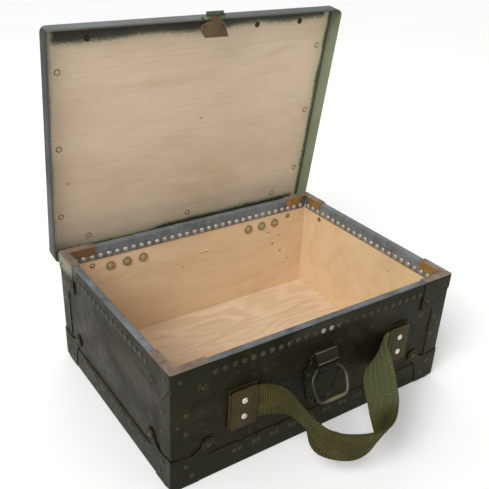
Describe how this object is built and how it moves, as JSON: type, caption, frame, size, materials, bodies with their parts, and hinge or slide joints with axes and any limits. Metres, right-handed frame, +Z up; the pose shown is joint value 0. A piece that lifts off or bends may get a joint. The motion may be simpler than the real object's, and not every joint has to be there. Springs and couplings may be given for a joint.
{
  "type": "footlocker",
  "caption": "Small plywood footlocker with steel-edged rim and corners, a pan lid standing open, a ring latch and a webbing handle.",
  "frame": {"origin": "on the ground, under the middle of the box, at the centre of the floor panel's underside", "axes": "+X to the right seen from the latch side, +Y to the hinge side, +Z up"},
  "size_m": [0.4552, 0.4783, 0.4962],
  "materials": {
    "box_plywood": "bare birch plywood, matt",
    "lid_plywood": "bare birch plywood with green overspray at its edges",
    "fibre_skin": "dark olive paint over fibreboard, scuffed and rough",
    "rail_steel": "worn blue-grey paint",
    "cap_steel": "dark green paint worn to brown on top",
    "black_steel": "dark olive paint with worn edges",
    "bail_wire": "dark paint rubbed bright",
    "brown_steel": "brown primer showing through",
    "lid_paint": "grey-green paint, satin",
    "handle_leather": "brown, worn",
    "webbing": "ribbed olive cotton webbing",
    "bright_steel": "dull bright steel"
  },
  "bodies": {
    "box": {"back_rail": "rail_steel", "back_wall": "box_plywood", "bottom_strip_back": "black_steel", "bottom_strip_front": "black_steel", "bottom_strip_left": "black_steel", "bottom_strip_right": "black_steel", "cap_back_left": "cap_steel", "cap_back_right": "cap_steel", "cap_front_left": "cap_steel", "cap_front_right": "cap_steel", "corner_protector_back_left": "black_steel", "corner_protector_back_right": "black_steel", "corner_protector_front_left": "black_steel", "corner_protector_front_right": "black_steel", "edge_strip_back_left": "black_steel", "edge_strip_back_right": "black_steel", "edge_strip_front_left": "black_steel", "edge_strip_front_right": "black_steel", "fibre_skin": "fibre_skin", "floor_panel": "box_plywood", "front_rail": "rail_steel", "front_wall": "box_plywood", "handle_pad_left": "handle_leather", "handle_pad_right": "handle_leather", "handle_plate_left": "handle_leather", "handle_plate_right": "handle_leather", "handle_rivet_left_lower": "bright_steel", "handle_rivet_left_upper": "bright_steel", "handle_rivet_right_lower": "bright_steel", "handle_rivet_right_upper": "bright_steel", "hinge_bolt_left_1": "bright_steel", "hinge_bolt_left_2": "bright_steel", "hinge_bolt_left_3": "bright_steel", "hinge_bolt_right_1": "bright_steel", "hinge_bolt_right_2": "bright_steel", "hinge_bolt_right_3": "bright_steel", "hinge_lower_leaf_left": "black_steel", "hinge_lower_leaf_right": "black_steel", "hinge_pin_left": "bright_steel", "hinge_pin_right": "bright_steel", "latch_base_plate": "black_steel", "latch_clip": "brown_steel", "left_rail": "rail_steel", "left_wall": "box_plywood", "right_rail": "rail_steel", "right_wall": "box_plywood", "webbing_handle": "webbing"},
    "lid": {"hasp_leaf": "black_steel", "hasp_pin": "bright_steel", "hinge_upper_leaf_left": "black_steel", "hinge_upper_leaf_right": "black_steel", "lid_panel": "lid_plywood", "lid_shell": "lid_paint"},
    "bail": {"latch_bail": "bail_wire"},
    "tongue": {"hasp_tongue": "brown_steel"}
  },
  "joints": [
    {"name": "lid_hinge", "type": "hinge", "parent": "box", "child": "lid", "pos_m": [0, 0.16845, 0.1524], "axis": [1, 0, 0], "range_deg": [-20, 81.5]},
    {"name": "bail_swing", "type": "hinge", "parent": "box", "child": "bail", "pos_m": [0, -0.1696, 0.106], "axis": [-1, 0, 0], "range_deg": [-30, 138]},
    {"name": "tongue_swing", "type": "hinge", "parent": "lid", "child": "tongue", "pos_m": [0, 0.12091, 0.48811], "axis": [1, 0, 0], "range_deg": [-81.5, 20]}
  ],
  "couplings": [
    {"joint": "tongue_swing", "follows": "lid_hinge", "ratio": -1}
  ]
}
